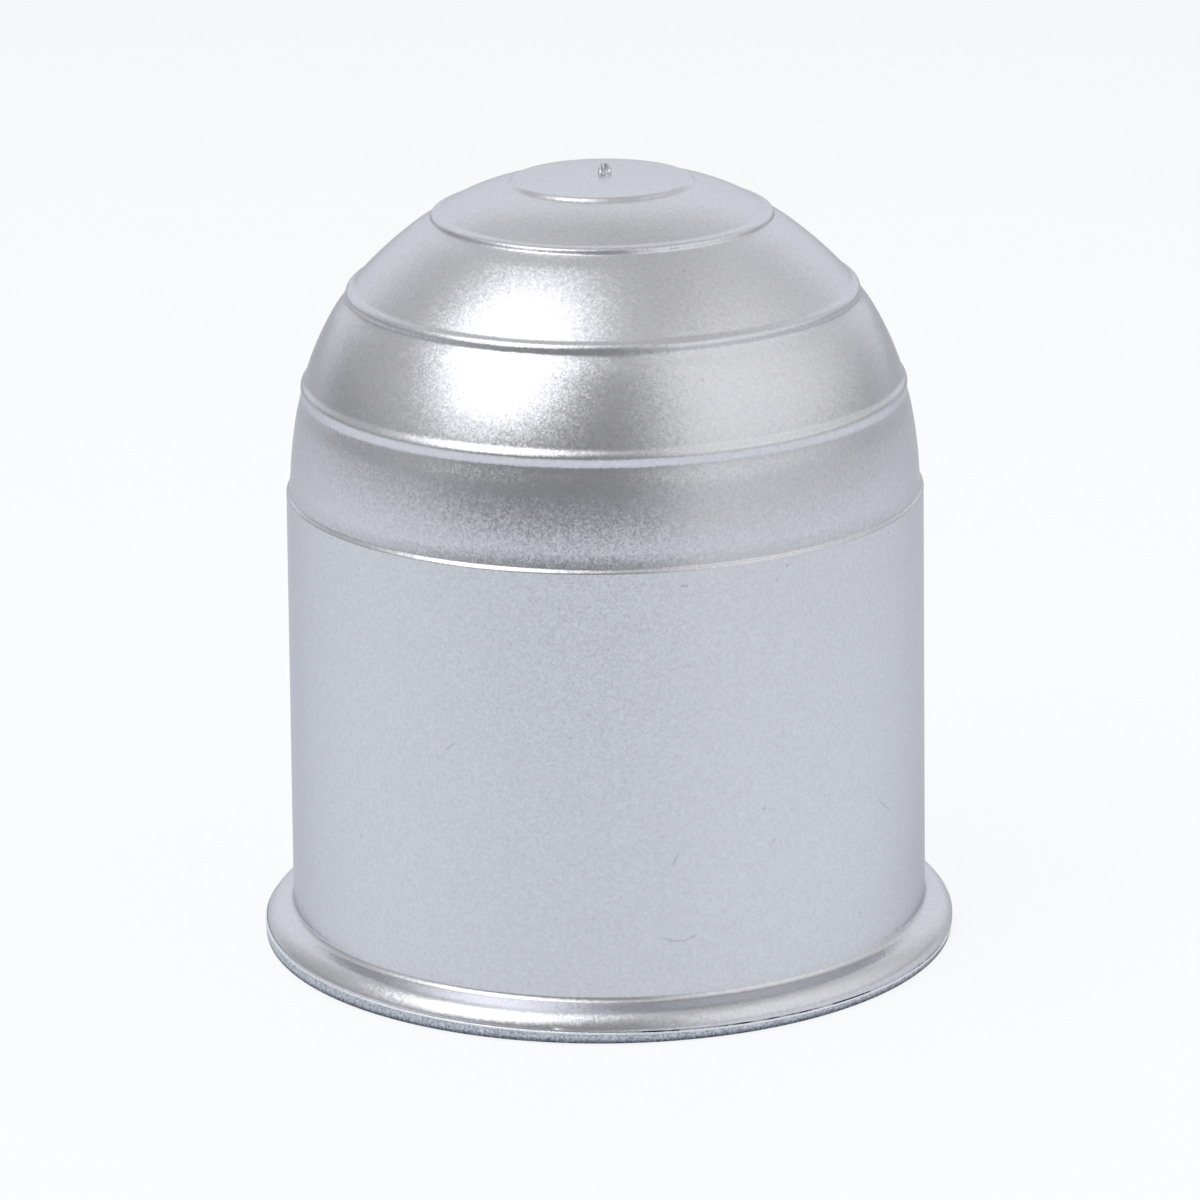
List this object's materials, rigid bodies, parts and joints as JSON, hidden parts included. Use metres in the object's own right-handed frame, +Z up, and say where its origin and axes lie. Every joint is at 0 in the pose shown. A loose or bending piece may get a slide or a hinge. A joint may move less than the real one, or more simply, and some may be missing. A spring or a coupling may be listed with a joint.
{
  "type": "tow ball cover",
  "caption": "Domed push-on cap that covers a tow ball: a round stepped dome with raised beads on a plain skirt, with a flared rim at the open foot.",
  "frame": {"origin": "centre of the open foot, on the plane that the rim stands on", "axes": "+Z up along the axis of the cover towards the crown, +X to the right and -Y towards the viewer; the outside is the same all round"},
  "size_m": [0.0618, 0.0618, 0.0696],
  "materials": {
    "cover": "satin silver paint over moulded plastic"
  },
  "bodies": {
    "root": {"cover": "cover"}
  },
  "joints": []
}
